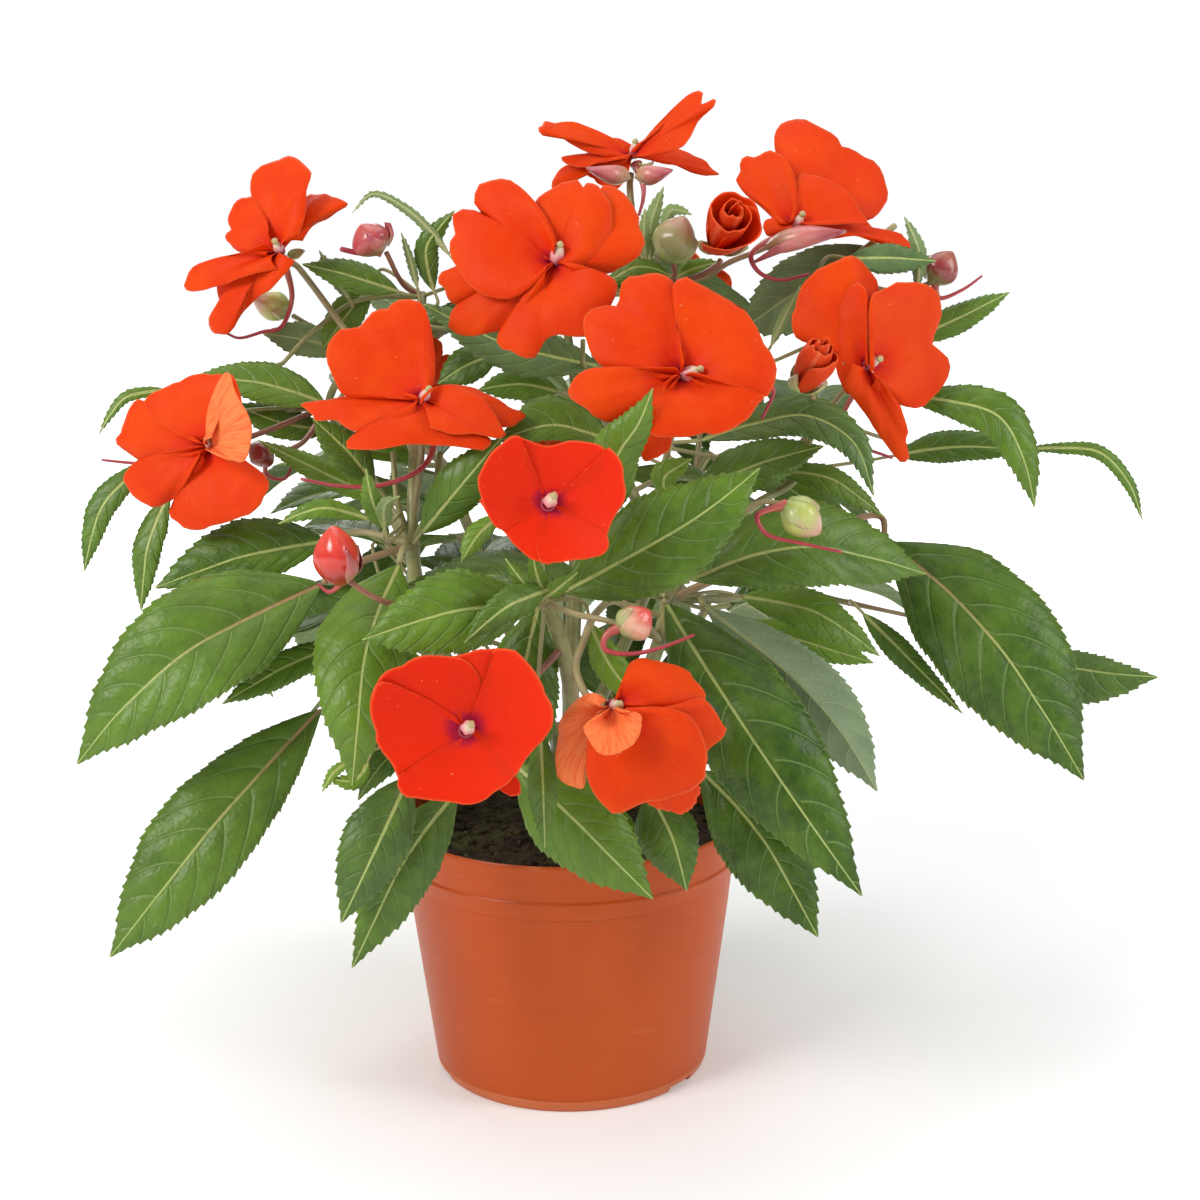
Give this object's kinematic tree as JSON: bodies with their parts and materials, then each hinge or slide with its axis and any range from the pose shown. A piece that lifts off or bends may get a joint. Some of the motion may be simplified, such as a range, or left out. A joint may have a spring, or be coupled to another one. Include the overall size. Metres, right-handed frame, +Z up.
{
  "type": "potted new guinea impatiens",
  "caption": "Bushy flowering impatiens in a round tapered pot: toothed glossy leaves, orange-red five-petalled flowers with curved spurs, and buds.",
  "frame": {"origin": "centre of the flat disc in the middle of the pot's underside, on the ground", "axes": "+Z up along the pot's axis; the plant's showy side faces -Y; +X to its right as seen from there"},
  "size_m": [0.364, 0.3425, 0.3245],
  "materials": {
    "pot_plastic": "satin moulded terracotta-coloured plastic",
    "soil": "rough dark peat, mossy on top",
    "stem": "smooth, green with red-brown tints",
    "leaf": "glossy, quilted between the veins",
    "leaf_underside": "dull pale grey-green",
    "petal": "velvety orange-red, crimson throat",
    "bud": "smooth and glossy, red to pale green"
  },
  "bodies": {
    "root": {"bud_front_pale": "bud", "bud_left_dark": "bud", "bud_left_glossy": "bud", "bud_left_green": "bud", "bud_right_green": "bud", "bud_right_top": "bud", "bud_top": "bud", "bud_upper_left": "bud", "flower_back_left": "petal", "flower_back_middle": "petal", "flower_back_right": "petal", "flower_centre": "petal", "flower_front_centre": "petal", "flower_front_left": "petal", "flower_front_right": "petal", "flower_half_open_right": "petal", "flower_half_open_top": "petal", "flower_left": "petal", "flower_left_centre": "petal", "flower_right": "petal", "flower_top": "petal", "flower_top_centre": "petal", "flower_upper_left": "petal", "flower_upper_right": "petal", "leaf_back_right_inner": "leaf", "leaf_back_right_outer": "leaf", "leaf_centre_pale": "leaf", "leaf_centre_right": "leaf", "leaf_front_centre": "leaf", "leaf_front_left": "leaf", "leaf_front_right_large": "leaf", "leaf_front_right_low": "leaf", "leaf_front_shaded": "leaf", "leaf_left_large": "leaf", "leaf_left_low": "leaf", "leaf_left_middle": "leaf", "leaf_over_pot_centre": "leaf", "leaf_over_pot_left": "leaf", "leaf_over_pot_left_outer": "leaf", "leaf_right_arching": "leaf", "leaf_right_drooping": "leaf", "leaf_right_large": "leaf", "leaf_right_middle": "leaf", "leaf_right_turned_over": "leaf_underside", "leaf_upper_right": "leaf", "pot": "pot_plastic", "soil": "soil", "stem_back_left": "stem", "stem_back_low": "stem", "stem_back_low_left": "stem", "stem_back_low_right": "stem", "stem_back_right": "stem", "stem_back_top": "stem", "stem_far_left": "stem", "stem_front": "stem", "stem_left": "stem", "stem_right": "stem", "stem_upper_centre": "stem", "stem_upper_left": "stem", "stem_upper_right": "stem"}
  },
  "joints": []
}
